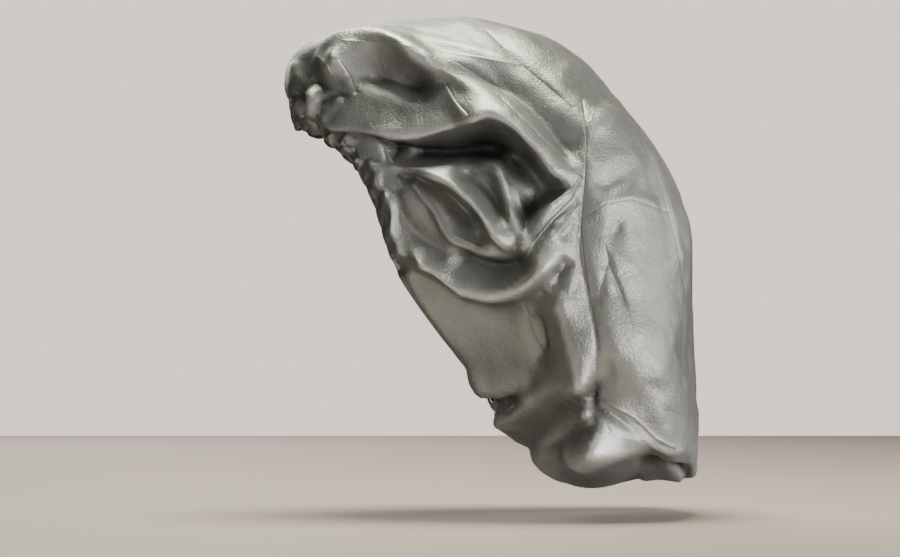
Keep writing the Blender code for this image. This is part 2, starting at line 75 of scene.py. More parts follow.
# Folds along paths seen from the side, x and y in turn in the photo's pixels. height, above,
# below and roll are millimetres: how far the crest stands out, its width on the upper and lower
# side, and how far it is dragged down over what lies below. start and end are shares of the path
# for each end to rise. sharp is 2 for a soft wave and 1 for a pressed crease. side is 1 left and
# -1 right.
Fold = namedtuple("Fold", "name path height above below start end sharp roll side",
                  defaults=(0.3, 0.3, 2, 0, 1))
folds = [Fold(*row) for row in (
    ("topRidge", (296, 66, 330, 52, 358, 47, 384, 50, 405, 60, 424, 71, 450, 75, 480, 79),
     7, 8, 4.5, 0.2, 0.3, 2, 2),
    ("browSwell", (312, 68, 340, 60, 372, 57, 400, 61, 424, 69, 446, 76), 13, 11, 12, 0.3, 0.35, 2.2),
    ("browDome", (330, 66, 340, 72, 350, 80), 4.5, 9, 10, 0.35, 0.35, 2.4),
    ("browDark", (344, 68, 372, 71, 398, 77, 420, 86, 440, 97), -14, 7, 13, 0.4, 0.35, 2.2),
    ("browRoll", (318, 122, 345, 125, 372, 126, 406, 132, 436, 127, 465, 117, 484, 114, 500, 119),
     3.5, 6, 5, 0.12, 0.3, 2.2, 6),
    ("browRollRear", (448, 124, 465, 117, 484, 114, 500, 119, 519, 132, 538, 153, 553, 172, 572, 192),
     14, 9, 5, 0.25, 0.15, 2, 6),
    ("rollValley", (462, 80, 484, 84, 506, 94, 526, 109, 546, 130, 564, 152, 577, 174),
     -6.5, 11, 5, 0.25, 0.2, 1.8),
    ("browCavity", (338, 143, 375, 147, 410, 151, 450, 148, 485, 144, 508, 156, 524, 176),
     -29, 9, 11.5, 0.16, 0.35, 3.2),
    ("bowl", (505, 146, 522, 166, 536, 186, 544, 200, 550, 210), -15, 12, 15, 0.3, 0.4, 2.2),
    ("bowlLow", (534, 186, 530, 206, 525, 224, 521, 240, 519, 250), -10, 7, 8, 0.3, 0.5, 2.2),
    ("bowlFront", (450, 162, 474, 182, 496, 208, 510, 232), -10, 13, 5.5, 0.25, 0.3, 2.2),
    ("bowlStreak", (489, 152, 498, 175, 505, 202, 513, 225, 522, 244), 6.5, 4.5, 5.5, 0.3, 0.15, 1.9),
    ("bowlStreakTwo", (512, 178, 519, 205, 527, 234), 1.6, 2.5, 3, 0.3, 0.2, 1.4),
    ("templeRoll", (362, 165, 383, 161, 400, 163, 423, 168, 441, 176, 457, 185, 469, 197, 483, 211,
     499, 233, 518, 256), 11, 4.5, 3.6, 0.08, 0.12, 1.7, 4),
    ("templeFace", (372, 148, 392, 152, 410, 158), 7, 10, 8, 0.35, 0.35),
    ("templeShade", (378, 178, 402, 178, 430, 186, 452, 199, 470, 216, 488, 236), -8, 4.5, 9, 0.2),
    ("cheekRidge", (411, 180, 420, 190, 434, 205, 444, 221, 453, 236, 468, 245, 488, 252, 518, 257),
     4.4, 6.5, 3.2, 0.12, 0.15, 1.4, 1.5),
    ("cheekHollow", (442, 200, 460, 218, 476, 236, 484, 246), -3.5, 7, 5),
    ("cheekFacet", (486, 238, 500, 244, 514, 252), 2.4, 6, 5, 0.35, 0.35, 1.6),
    ("cheekShade", (400, 214, 418, 232, 436, 250, 448, 262), -3, 6, 6),
    ("hemRidge", (368, 171, 367, 186, 371, 201, 379, 206, 390, 199, 396, 209, 394, 232, 400, 248, 411, 257),
     4.2, 3.2, 4.2, 0.08, 0.12, 1.6),
    ("hemShade", (382, 184, 392, 190, 402, 214, 404, 236), -3.6, 5, 5, 0.25, 0.25),
    ("swag", (402, 250, 420, 257, 434, 262, 447, 267, 466, 278, 480, 284, 495, 288, 508, 287, 522, 283,
     538, 272, 553, 259, 570, 242), 16, 7.5, 6, 0.14, 0.2, 2, 1),
    ("swagValley", (452, 252, 470, 261, 492, 267, 514, 265, 534, 252), -8, 8, 7, 0.2, 0.25),
    ("swagUnder", (470, 301, 495, 307, 520, 302, 540, 292), -2.5, 5, 9),
    ("swagKnot", (465, 281, 470, 288, 474, 296), 2.2, 2.4, 2.6, 0.3, 0.3, 1.5),
    ("swagHook", (538, 286, 549, 288, 559, 291, 567, 280, 571, 258), 3.8, 4.5, 2.8, 0.2, 0.3, 1.5, 0.5),
    ("hookShade", (546, 277, 557, 268, 564, 256), -4, 5, 5),
    ("tensionRidge", (518, 256, 530, 233, 545, 213, 560, 199, 578, 188), 8, 5, 4.5, 0.1, 0.35, 1.7),
    ("tensionRidgeTwo", (526, 270, 542, 248, 558, 227, 577, 203), 6, 4.2, 7, 0.2, 0.4, 1.7),
    ("tensionDent", (552, 244, 563, 230, 572, 218), -3, 4.5, 4.5),
    ("panelEdge", (519, 300, 527, 322, 538, 345, 548, 366), 1.8, 4, 14, 0.2, 0.3, 1.3),
    ("panelDip", (536, 308, 540, 335, 547, 362), -9.5, 10, 9, 0.25),
    ("panelRidge", (557, 284, 561, 315, 567, 345, 576, 372, 586, 388), 13, 12, 12, 0.15, 0.2, 1.9),
    ("bellyEdge", (591, 392, 578, 383, 561, 383, 547, 391, 526, 404, 505, 410, 484, 411),
     7, 6, 10, 0.1, 0.2, 1.9, 1.5),
    ("bellyRoll", (589, 397, 572, 412, 557, 428, 546, 446, 549, 463, 562, 478, 582, 484),
     8.5, 5.7, 7, 0.1, 0.2, 1.8),
    ("bellyGroove", (582, 409, 567, 426, 556, 446, 560, 463, 576, 476, 600, 474),
     -8, 4.6, 4.6, 0.15, 0.4, 1.9),
    ("bellyInner", (584, 417, 569, 434, 560, 449, 564, 464, 578, 474), 3, 4.2, 4.6, 0.2, 0.3, 1.7),
    ("bellyFall", (575, 478, 605, 468, 640, 456, 668, 448), -4.5, 6, 8, 0.25, 0.25),
    ("tailCrease", (591, 393, 612, 401, 629, 414, 650, 434, 669, 444, 690, 442),
     6.5, 6, 6, 0.06, 0.3, 1.05, 1),
    ("tailDip", (630, 466, 648, 463, 668, 465, 690, 470), -12, 3.4, 3, 0.3, 0.1, 2.2),
    ("tailLip", (634, 474, 650, 480, 668, 482, 686, 477), 9, 4, 4, 0.3, 0.15, 1.8, 1),
    ("backLine", (633, 126, 646, 156, 655, 181, 663, 206, 670, 233, 678, 270, 684, 300),
     2.2, 3, 10, 0.2, 0.4, 1.1),
    ("backLineShade", (628, 130, 640, 158, 650, 184, 657, 208, 664, 234, 672, 268),
     -2.2, 3, 5, 0.15, 0.3, 1.4),
    ("packCrease", (580, 108, 582, 138, 582, 172, 578, 202, 575, 226), 2.2, 12, 4, 0.3, 0.3, 1.2),
    ("packValley", (582, 150, 580, 190, 575, 235, 577, 266, 584, 296, 591, 334, 592, 366, 591, 391),
     -3.4, 4, 2.8, 0.25, 0.06, 1),
    ("backLens", (592, 108, 594, 124, 592, 142), 2.4, 9, 8, 0.35, 0.35),
    ("crossCrease", (583, 217, 600, 206, 627, 201, 650, 206, 663, 213), 2, 3, 8, 0.25, 0.35, 1.3),
    ("crossDent", (596, 203, 606, 188, 620, 180, 634, 186), -4, 9, 6, 0.35, 0.4),
    ("panelCrease", (600, 246, 606, 271, 615, 294, 626, 320), -2, 2.2, 4, 0.2, 0.3, 1.2),
    ("panelCreaseTwo", (603, 258, 599, 276, 595, 296, 594, 318), -1.6, 2.2, 3, 0.2, 0.3, 1.2),
    ("panelDent", (597, 350, 603, 370, 605, 392), -3.4, 5, 5, 0.5, 0.5),
    ("panelDentTwo", (630, 376, 650, 386, 668, 396), -2.4, 7, 7, 0.5, 0.5),
    ("panelDentThree", (646, 332, 640, 352, 632, 372), -2, 7, 7, 0.5, 0.5),
    ("panelDentFour", (672, 316, 680, 350, 684, 380), -2.4, 6, 6, 0.5, 0.5),
    ("panelDentFive", (616, 208, 611, 232, 604, 256), -2.4, 6, 5, 0.5, 0.5),
    ("topCrease", (380, 36, 412, 42, 450, 52, 486, 62, 519, 69), 3.4, 3.4, 6, 0.2, 0.2, 1.05),
    ("topCreaseTwo", (352, 36, 384, 31, 420, 33, 452, 38), 1.8, 3, 5, 0.25, 0.3, 1.2),
    ("slantCrease", (485, 33, 503, 50, 520, 69, 534, 82, 553, 98, 570, 112), -2.6, 3, 6, 0.25, 0.25, 1.1),
    ("ridgeBranch", (424, 71, 436, 67, 458, 68, 482, 76, 508, 92), 3, 3.4, 3.4, 0.15, 0.3, 1.3),
    ("ridgeBranchTwo", (428, 82, 436, 78, 448, 81, 464, 89, 486, 99, 506, 110),
     3.6, 3, 4.6, 0.12, 0.3, 1.2, 0.5),
    ("facetEdge", (446, 88, 452, 101, 460, 113, 467, 119), 1.6, 3.2, 5, 0.2, 0.25, 1.4),
    ("longCrease", (500, 108, 516, 120, 532, 134, 546, 147, 562, 162, 575, 176),
     -1.5, 3, 5, 0.25, 0.2, 1.3),
    ("rearShade", (566, 70, 582, 84, 598, 98, 612, 112), -5, 11, 10),
    ("crumpleOne", (340, 64, 345, 70, 352, 82, 357, 96), 3.4, 2, 3.4, 0.15, 0.25, 1.2),
    ("crumpleTwo", (322, 60, 326, 64, 334, 74, 336, 84), 3.6, 4, 5.5, 0.25, 0.3, 1.5),
    ("crumpleThree", (334, 96, 346, 99, 356, 103), -2.6, 2.4, 2.4, 0.25, 0.3, 1.3),
    ("crumpleFour", (348, 100, 343, 107, 340, 116), 2.6, 2, 2.4, 0.2, 0.2, 1.2),
    ("crumpleShade", (318, 78, 326, 88, 336, 94), -3.6, 4, 4, 0.3, 0.3, 1.8),
)]
folds += [Fold(*row, side=-1) for row in (
    ("farBrowRoll", (310, 118, 350, 124, 400, 130, 450, 140, 500, 162, 545, 200),
     12, 18, 7, 0.12, 0.3, 2, 5),
    ("farBrowHollow", (345, 144, 390, 150, 440, 165, 490, 195), -15, 10, 13, 0.25, 0.35),
    ("farTempleRidge", (368, 165, 410, 172, 450, 190, 490, 222, 525, 262), 8, 10, 4, 0.15, 0.3, 1.7, 3),
    ("farSwag", (400, 235, 440, 262, 480, 276, 525, 268, 565, 235), 10, 11, 4.5, 0.2, 0.3, 1.7, 3),
    ("farSwagHollow", (425, 225, 460, 245, 500, 250, 535, 232), -8, 9, 8),
    ("farHipFold", (455, 325, 490, 345, 540, 352, 590, 338), 8, 12, 5, 0.25, 0.3, 1.7, 3),
    ("farHipHollow", (440, 300, 485, 316, 535, 318), -6, 9, 9),
    ("farSideCrease", (600, 130, 598, 200, 602, 270, 610, 350, 606, 400), 4.4, 9, 4, 0.2, 0.2, 1.2),
    ("farBelly", (515, 405, 545, 425, 595, 428, 650, 445), 7, 10, 6, 0.25, 0.25, 1.7, 2),
    ("farCross", (600, 230, 630, 220, 668, 236), 3, 3, 8, 0.2, 0.3, 1.2),
    ("farTail", (606, 402, 635, 418, 665, 440), 3.8, 6, 4, 0.15, 0.2, 1.1),
    ("farTopRidge", (330, 50, 380, 46, 430, 60, 480, 86, 530, 120), 4, 10, 5, 0.2, 0.3, 1.6, 1),
    ("farShoulder", (470, 60, 520, 92, 560, 132, 590, 180), -3.4, 8, 12, 0.25, 0.3, 1.5),
)]

# Broad swells told in the same way, which move the cloth straight out sideways.
swells = [Fold(*row) for row in (
    ("backSwell", (592, 290, 588, 350, 586, 400, 584, 440, 582, 468), 16, 42, 17, 0.3, 0.15),
    ("bellySwell", (550, 446, 572, 462, 600, 468, 630, 462, 656, 449, 684, 436),
     42, 30, 7, 0.25, 0.72, 2.4),
    ("bellyTurn", (590, 390, 579, 410, 569, 436, 572, 470), 17, 50, 8, 0.3, 0.12, 1.7),
)]
swells += [Fold(*row, side=-1) for row in (
    ("farBackSwell", (588, 320, 586, 380, 584, 440, 582, 465), 8, 42, 20, 0.3, 0.2),
    ("farBellySwell", (552, 432, 590, 448, 630, 450, 672, 440), 20, 25, 10, 0.25, 0.3, 2.4),
)]

# The hem's own bunches in front of the ear, told in the same way, which both pieces follow.
hemFolds = [Fold(*row) for row in (
    ("hemFleck", (299, 64, 303, 75, 311, 88), 3.4, 2.6, 3.2, 0.2, 0.25, 1.5),
    ("hemOval", (292, 104, 296, 108, 299, 114), 3.4, 4.5, 4.5, 0.35, 0.35, 1.8),
    ("hemCrevice", (296, 92, 306, 98, 306, 112, 303, 124), -6, 3.6, 3.6, 0.2, 0.2, 1.8),
    ("hemFlap", (318, 90, 322, 100, 318, 112, 309, 129), 7.5, 4.2, 3.2, 0.12, 0.12, 1.5),
    ("hemGap", (327, 96, 329, 108, 326, 120), -8, 2.6, 2.6, 0.2, 0.2, 1.8),
    ("hemKnob", (335, 104, 333, 116, 336, 124), 4.5, 3.6, 4.5, 0.25, 0.25, 1.7),
    ("hemPouch", (311, 134, 320, 138, 328, 138), -3.5, 3, 3, 0.25, 0.25, 1.8),
    ("hemLoop", (329, 150, 330, 143, 337, 138), 4.2, 1.8, 1.8, 0.2, 0.2, 1.5),
    ("hemLoopHole", (336, 148, 340, 144), -5, 2.2, 2.2, 0.3, 0.3, 1.8),
    ("hemCurl", (343, 149, 350, 143, 356, 137), 5, 2.2, 2.2, 0.2, 0.2, 1.5),
    ("hemCurlTwo", (343, 154, 350, 152, 356, 160, 364, 166), 5, 2, 2.2, 0.15, 0.2, 1.4),
    ("hemSlit", (348, 158, 355, 165, 361, 168), -5, 1.6, 1.8, 0.25, 0.25, 1.6),
    ("hemHole", (357, 170, 358, 176, 360, 183), -7, 2.6, 2.6, 0.25, 0.25),
    ("hemDarkOval", (395, 254, 400, 264, 404, 276), -6, 5, 5, 0.3, 0.3, 2.2),
    ("napePocket", (478, 390, 490, 397, 504, 399, 519, 396, 534, 389), -13, 6.5, 6, 0.3, 0.4, 2.2),
    ("napeUpperLip", (460, 366, 474, 380, 490, 387, 506, 385, 520, 381, 536, 383),
     5, 7, 4.5, 0.2, 0.3, 2, 2),
    ("napeLowerLip", (484, 408, 496, 412, 512, 408, 528, 400, 542, 389), 3.5, 6, 7, 0.3, 0.35, 2.2),
)]

# Gathers on the side the camera sees, by their place in degrees down from the front. height,
# reach and lip are millimetres: the height of the puff, how far back it dies away and how far
# it hangs forward over the hem. spread is degrees, and lean is how far it tips round, as a
# share of its height.
Gather = namedtuple("Gather", "degrees height spread reach lip lean")
nearGathers = [Gather(*row) for row in (
    (2, 1.8, 3.5, 18, 1, 0.3),
    (11, 2.2, 3.6, 14, 2, -0.5),
    (19, 2.2, 2.6, 18, 2, 0.6),
    (27, 4.4, 3.4, 30, 4, 0.5),
    (37, 4.8, 4, 34, 6, -0.5),
    (46, 3.2, 3, 18, 5, 0.4),
    (53, 3.8, 3, 20, 5, 0.6),
    (60, 3.2, 2.8, 24, 4, -0.4),
    (67, 3.6, 3.6, 22, 4, 0.3),
    (78, 2.2, 5, 14, 4, 0.4),
    (90, 2.6, 5.6, 12, 5, 0.3),
    (102, 3, 4.6, 14, 5, 0.4),
    (112, 1.4, 4, 20, 2, 0.3),
)]

# The other gathers are random within these ranges. In the calm stretch the cloth lies smooth.
gathers = {
    "seed": 11, "firstDegrees": 160, "lastDegrees": 357, "count": 23, "within": (0.2, 0.8),
    "height": (2.4, 4.8), "spread": (2.8, 4.4), "reach": (16, 48), "lip": (2.0, 6.5),
    "lean": (-0.7, 0.7), "puffPower": 1.7, "fadePower": 1.2, "pinched": 0.42, "valley": 0.0022,
    "valleyReach": 0.011, "calmAngle": math.radians(134), "calmSpread": math.radians(21),
    "calm": 0.96, "farCalm": 0.55,
}

# How far the crown's cloth hangs forward over the hem and how thick its rolled edge is, in
# millimetres, and how much the hem's own cloth is gathered in ribs, as a share, by the place in
# degrees down from the front on the left and on round to the right.
Lip = namedtuple("Lip", "degrees cover height ribs")
lips = [Lip(*row) for row in (
    (0, 3, 0.4, 0.9),
    (14, 8, 0.9, 0.8),
    (28, 14, 2.2, 0.7),
    (42, 15, 2.4, 0.7),
    (54, 14, 2.6, 0.5),
    (66, 17, 3.4, 0.3),
    (92, 19, 3.6, 0.12),
    (106, 21, 2.6, 0.12),
    (120, 23, 1.2, 0.1),
    (152, 23, 1.2, 0.1),
    (166, 15, 2.4, 0.2),
    (180, 12, 3, 0.3),
    (198, 15, 2.4, 0.3),
    (218, 22, 1.2, 0.2),
    (240, 19, 2, 0.3),
    (280, 11, 3.4, 0.8),
    (316, 5, 2.5, 1),
    (342, 1, 0.8, 1),
    (360, 3, 0.4, 0.9),
)]

lipForm = {
    "turn": 0.005, "rise": 0.009, "reach": 0.030, "fadePower": 1.5, "clearance": 0.0008,
    "sink": 0.030, "drop": 1 / 0.03, "coveredFrom": 0.003, "scallopBack": 0.0025,
    "scallopCover": 0.012, "leastBare": 0.0035,
}

pleats = {"waves": 47, "height": 0.0011, "wander": 3.2, "reach": 0.008}

# Short straight creases that the cloth keeps from being packed.
creases = {
    "seed": 23, "count": 110, "height": (0.0005, 0.0016), "sharpWidth": (0.0026, 0.005),
    "softWidth": (0.008, 0.022), "length": (0.016, 0.05), "depth": 0.03, "rowShares": (0.12, 0.94),
    "grain": (0.3, 0.2, 1.0), "leftShare": 0.5,
}

# The thin lines at the foot of the pressed creases, seen from the side in the photo's pixels.
# depth and width are millimetres, and a line with a depth below 0 stands out.
Press = namedtuple("Press", "path depth width")
presses = [Press(*row) for row in (
    ((580, 104, 583, 150, 580, 190, 576, 230, 583, 290, 591, 340, 591, 392), 0.7, 1.1),
    ((591, 393, 629, 414, 650, 434, 669, 444), -0.8, 1),
    ((633, 126, 655, 181, 670, 233, 684, 300), 0.5, 1),
    ((440, 57, 480, 62, 518, 69), -0.5, 1),
    ((485, 33, 520, 69, 570, 112), 0.5, 1),
    ((500, 103, 540, 143, 578, 180), 0.5, 1),
    ((455, 66, 500, 94, 566, 160), 0.3, 0.9),
    ((600, 246, 606, 271, 626, 320), 0.4, 1),
    ((583, 217, 600, 206, 627, 201, 663, 213), 0.4, 1.2),
    ((446, 88, 456, 106, 467, 119), 0.5, 0.9),
    ((343, 66, 353, 82, 358, 96), 0.6, 0.9),
    ((591, 396, 598, 410, 604, 426), 0.4, 1),
    ((519, 257, 545, 226, 577, 190), -0.7, 1.2),
    ((524, 266, 552, 236, 578, 204), -0.5, 1.2),
    ((415, 178, 434, 205, 453, 236, 488, 252), -0.5, 1),
    ((330, 90, 345, 97, 360, 96), 0.5, 0.9),
    ((320, 60, 327, 66, 333, 78), -0.5, 0.9),
    ((521, 300, 534, 335, 549, 368), 0.5, 1.2),
    ((345, 44, 390, 47, 440, 57), -0.5, 1.2),
)]

# How many small steps the mean is spread by and the height that counts as a full crest or hollow,
# for the painted shade in the fold hollows and the painted highlight on the crests, and how far left
# the pressed lines start.
reliefForm = {"steps": 60, "full": 0.008, "pressedFrom": 0.015}

# reach is how many widths' power away a fold ends, and middleFade how much of the half width it
# takes to rise beside the middle plane.
foldForm = {
    "pathSteps": 48, "reach": 6.2, "middleFade": 0.25, "crowding": 0.3, "crowdBelow": 5.6,
    "crowdReach": 2.4,
}

# The size in metres and the seed of each noise.
noises = {
    "dents": (0.030, 3), "wrinkles": (0.011, 4), "pleatWander": (0.03, 5), "ribTwist": (0.03, 6),
    "ribWander": (0.06, 7), "crinkle": (0.006, 8), "ribDepth": (0.018, 9), "fineDepth": (0.012, 10),
}

crownCloth = {
    "columns": 226, "rows": 216, "leftCrowding": 0.38, "crowdedAngle": math.radians(112),
    "rowPower": 1.12, "tipShare": 0.04, "wall": 0.0008, "underSeam": 0.0012, "dentHeight": 0.0012,
    "wrinkleHeight": 0.0005,
}

casingCloth = {
    "columns": 1440, "crossSteps": 32, "outerBulge": 0.0030, "innerBulge": 0.0012, "waves": 14,
    "waveHeight": 0.0034, "ribPower": 0.7, "edgeCalm": 0.55, "uneven": 0.4, "fineWaves": 74,
    "fineHeight": 0.0009, "fineWander": 1.6, "wander": 8.0, "twist": 4.5, "scallop": 0.0018,
    "freeShare": 0.5, "bareFade": 0.004, "crinkle": 0.0009,
}

# The scale, detail and roughness of each noise of the satin, and the form of its other marks.
satinScales = {
    "grain": (780.0, 2.0, 0.65), "marks": (76.0, 3.0, 0.55), "patch": (21.0, 1.0, 0.5),
    "bend": (26.0, 1.0, 0.5), "bendReach": 0.03, "threads": (1500.0, 70.0, 1.0), "cells": 34.0,
    "lineWidth": 0.14, "shown": (0.5, 0.66),
}

# The cloth's fine heights, which each look gives in metres.
satinHeights = ("Grain", "Threads", "Marks", "Crumple")

# The satin's colours and finish. The hollow and crest values paint shade into the fold hollows and a
# highlight onto the crests.
satinLook = {
    "colour": (0.465, 0.465, 0.445, 1), "deepColour": (0.28, 0.278, 0.264, 1), "roughness": 0.44,
    "roughnessSpread": 0.12, "hollowPaintedShade": 0.82, "crestPaintedHighlight": 1.0, "metallic": 0.80,
    "anisotropy": 0.3, "sheen": 0.07, "grain": 0.00045, "threads": 0.000025, "marks": 0.0009,
    "crumple": -0.00012,
}

casingLook = dict(satinLook, grain=0.00004, marks=0.0004, crumple=0.0, roughness=0.42)

# The floor's colours. Its thrown light carries a painted round patch of light beside the bonnet and is darker
# beyond it.
floorForm = {
    "halfSize": 1.6, "level": -0.345, "seenColour": (0.62, 0.51, 0.45, 1),
    "thrownColour": (0.58, 0.53, 0.495), "paintedPoolMiddle": (0.27, 0.03), "paintedPoolEdge": (0.14, 0.38),
    "beyondPaintedPool": 0.12, "roughness": 0.8,
}

studioForm = {
    "seenColour": (1.38, 1.17, 1.05, 1), "litColour": (0.60, 0.57, 0.55, 1), "litStrength": 0.03,
    "aim": (0, 0.04, -0.16), "cameraDistance": 3.2, "sensorWidth": 36,
}

Softbox = namedtuple("Softbox", "name place size power colour")
softboxes = [Softbox(*row) for row in (
    ("overhead", (-0.08, 0.02, 0.95), (0.55, 0.55), 20, (0.96, 1.0, 0.80)),
    ("cameraRight", (1.08, 1.62, 0.0), (0.95, 0.7), 28.5, (1.0, 0.98, 0.97)),
    ("highFront", (1.05, 0.10, 1.10), (0.7, 0.5), 0.9, (1.0, 0.99, 0.95)),
    ("lowFront", (0.7, -0.35, -0.33), (0.6, 0.8), 1.7, (1.0, 0.97, 0.94)),
    ("rearRight", (-0.5, 1.9, 0.1), (1.1, 0.8), 11, (1.0, 0.98, 0.97)),
    ("farSide", (-1.5, -0.5, 0.5), (0.9, 0.9), 14, (1.0, 0.98, 0.97)),
)]


# Rises from 0 to 1 as 3 t^2 - 2 t^3.
def smoothStep(t):
    t = np.clip(t, 0, 1)
    return t * t * (3 - 2 * t)


# Natural cubic spline through evenly spaced rows: the second derivatives solve one linear
# system, and each stretch is the cubic that joins its two rows with them.
def splineRows(rows, at):
    rows = np.asarray(rows, float)
    count = len(rows)
    system = np.eye(count)
    bend = np.zeros_like(rows)
    inner = np.arange(1, count - 1)
    system[inner, inner - 1] = 1
    system[inner, inner] = 4
    system[inner, inner + 1] = 1
    bend[1:-1] = 6 * (rows[2:] - 2 * rows[1:-1] + rows[:-2])
    curve = np.linalg.solve(system, bend)
    place = np.clip(at, 0, 1) * (count - 1)
    first = np.minimum(place.astype(int), count - 2)
    t = (place - first)[..., None]
    s = 1 - t
    return (s * rows[first] + t * rows[first + 1]
            + ((s**3 - s) * curve[first] + (t**3 - t) * curve[first + 1]) / 6)


# Round the opening a ring's place, seen from the side, is a sum of cosines, and its width one
# of sines, with weights that make it meet its points.
def ringWeights(angle):
    five = np.arange(5) * math.pi / 4
    even = np.linalg.inv(np.cos(np.outer(five, np.arange(5))))
    odd = np.linalg.inv(np.sin(np.outer(five[1:4], np.arange(1, 4))))
    places = np.cos(angle[..., None] * np.arange(5)) @ even
    widths = np.sin(angle[..., None] * np.arange(1, 4)) @ odd
    return places, widths


# The bag with no folds: at an angle round it and a share from its free edge to its tail,
# the spline through the rings' points, weighted round the ring.
def bagSurface(angle, along):
    places = [[*r.top, *r.shoulder, *r.side, *r.hip, *r.low] for r in rings]
    ring = splineRows(places, along).reshape(*along.shape, 5, 2)
    halfWidths = splineRows([r.halfWidths for r in rings], along)
    placeWeights, widthWeights = ringWeights(angle)
    middle = (ring * placeWeights[..., None]).sum(axis=-2)
    x = (halfWidths * widthWeights).sum(axis=-1) * bonnetForm["halfWidth"]
    y = middle[..., 0] * bonnetForm["length"]
    z = middle[..., 1] * bonnetForm["drop"] + bonnetForm["seatLift"]
    return np.stack([x, y, z], axis=-1)


# Vectors divided by their lengths.
def unit(vectors):
    return vectors / np.maximum(np.linalg.norm(vectors, axis=-1, keepdims=True), 1e-9)


# At each point of a grid that closes round: outward as the cross product of the steps round
# and along it, forward to the free edge, and round with the angle.
def directions(points):
    down = np.gradient(points, axis=0)
    around = np.roll(points, -1, axis=1) - np.roll(points, 1, axis=1)
    return unit(np.cross(around, down)), -unit(down), unit(around)


# How far the cloth runs from the free edge at each angle: the sum of short straight steps.
def lengthsFromEdge(angles):
    along = np.linspace(0, 1, bonnetForm["profileSteps"])
    points = bagSurface(*np.broadcast_arrays(angles[None, :], along[:, None]))
    steps = np.linalg.norm(np.diff(points, axis=0), axis=-1)
    return along, np.vstack([np.zeros(len(angles)), np.cumsum(steps, axis=0)])


# Smooth noise from -1 to 1: random corner values on a grid of cubes, blended by smoothStep.
def smoothNoise(points, name):
    size, seed = noises[name]
    values = np.random.default_rng(seed).uniform(-1, 1, 4096)
    mixers = (73856093, 19349663, 83492791)
    cell = points / size
    corner = np.floor(cell).astype(int)
    part = smoothStep(cell - corner)
    total = np.zeros(points.shape[:-1])
    for bits in np.ndindex(2, 2, 2):
        index = np.bitwise_xor.reduce((corner + bits) * mixers, axis=-1)
        weight = np.where(bits, part, 1 - part).prod(axis=-1)
        total = total + weight * values[index % len(values)]
    return total


# Side-view places in metres of points given in the photo's pixels, x and y in turn.
def fromPhoto(pixels):
    pixels = np.reshape(pixels, (-1, 2))
    y = (pixels[:, 0] - photo["seatX"]) * photo["metresPerPixel"]
    z = (photo["seatY"] - pixels[:, 1]) * photo["metresPerPixel"]
    return np.stack([y, z], axis=-1)


# For the points near a fold's path, seen from the side: their mask, the gap from the path to
# each, the path's direction there and how strongly the fold rises.
def besideFold(points, fold):
    path = splineRows(fromPhoto(fold.path), np.linspace(0, 1, foldForm["pathSteps"]))
    reach = foldForm["reach"] ** (1 / fold.sharp) * max(fold.above, fold.below) / 1000
    low, high = path.min(axis=0) - reach, path.max(axis=0) + reach
    near = ((points[..., 1:] > low) & (points[..., 1:] < high)).all(axis=-1)
    near &= points[..., 0] * fold.side > 0
    seenAt = points[near]
    start, run = path[:-1], np.diff(path, axis=0)
    seen = seenAt[:, None, 1:] - start
    share = np.clip((seen * run).sum(-1) / (run * run).sum(-1), 0, 1)
    gap = seen - share[..., None] * run
    nearest = np.linalg.norm(gap, axis=-1).argmin(axis=-1)
    which = np.arange(len(nearest))
    along = (nearest + share[which, nearest]) / len(run)
    rise = smoothStep(along / fold.start) * smoothStep((1 - along) / fold.end)
    middle = foldForm["middleFade"] * bonnetForm["halfWidth"]
    rise = rise * smoothStep(np.abs(seenAt[:, 0]) / middle)
    return near, gap[which, nearest], unit(run)[nearest], rise


# A fold moves each point out along its normal by height times exp(-(distance / width)^sharp)
# of the distance to its path, and drags it down across the path.
def foldShift(points, normals, fold):
    near, gap, direction, rise = besideFold(points, fold)
    over = direction[:, 0] * gap[:, 1] - direction[:, 1] * gap[:, 0]
    width = np.where(over > 0, fold.above, fold.below) / 1000
    bump = rise * np.exp(-((np.linalg.norm(gap, axis=-1) / width) ** fold.sharp))
    moved = normals[near] * (bump * fold.height / 1000)[:, None]
    drag = bump * fold.roll / 1000
    moved[:, 1] += drag * direction[:, 1]
    moved[:, 2] -= drag * direction[:, 0]
    shift = np.zeros_like(points)
    shift[near] = moved
    return shift


# Draws points along the surface towards a narrow fold's path, by a share of their distance
# times exp(-(distance / reach)^2), so that the fold has points enough to be crisp.
def crowdShift(points, normals, fold):
    near, gap, _, rise = besideFold(points, fold)
    distance = np.linalg.norm(gap, axis=-1)
    reach = foldForm["crowdReach"] * min(fold.above, fold.below) / 1000
    pull = foldForm["crowding"] * rise * np.exp(-((distance / reach) ** 2))
    moved = np.zeros((len(gap), 3))
    moved[:, 1:] = -gap * pull[:, None]
    moved -= normals[near] * (moved * normals[near]).sum(axis=-1, keepdims=True)
    shift = np.zeros_like(points)
    shift[near] = moved
    return shift


# How far an angle lies from a middle, the short way round.
def turnFrom(angle, middle):
    return np.abs(np.mod(angle - middle + math.pi, tau) - math.pi)


# Where the cloth lies smooth beside the neck, as a share from 0, bunched, to 1, calm.
def calmShare(angle):
    most = np.where(np.mod(angle, tau) < math.pi, gathers["calm"], gathers["farCalm"])
    off = turnFrom(angle, 0) - gathers["calmAngle"]
    return most * np.exp(-((off / gathers["calmSpread"]) ** 2))


# The gathers of the table, and random ones evenly spread over the rest of the opening.
def allGathers():
    random = np.random.default_rng(gathers["seed"])
    count = gathers["count"]
    step = (gathers["lastDegrees"] - gathers["firstDegrees"]) / count
    degrees = gathers["firstDegrees"] + (np.arange(count) + random.uniform(*gathers["within"], count)) * step
    columns = [random.uniform(*gathers[name], count) for name in ("height", "spread", "reach", "lip", "lean")]
    return nearGathers + [Gather(*row) for row in zip(degrees, *columns)]


# A gather's share at an angle: exp(-(off / spread)^power) of the turn from its middle.
def gatherBump(angle, gather, power):
    off = turnFrom(angle, math.radians(gather.degrees))
    return np.exp(-((off / math.radians(gather.spread)) ** power))


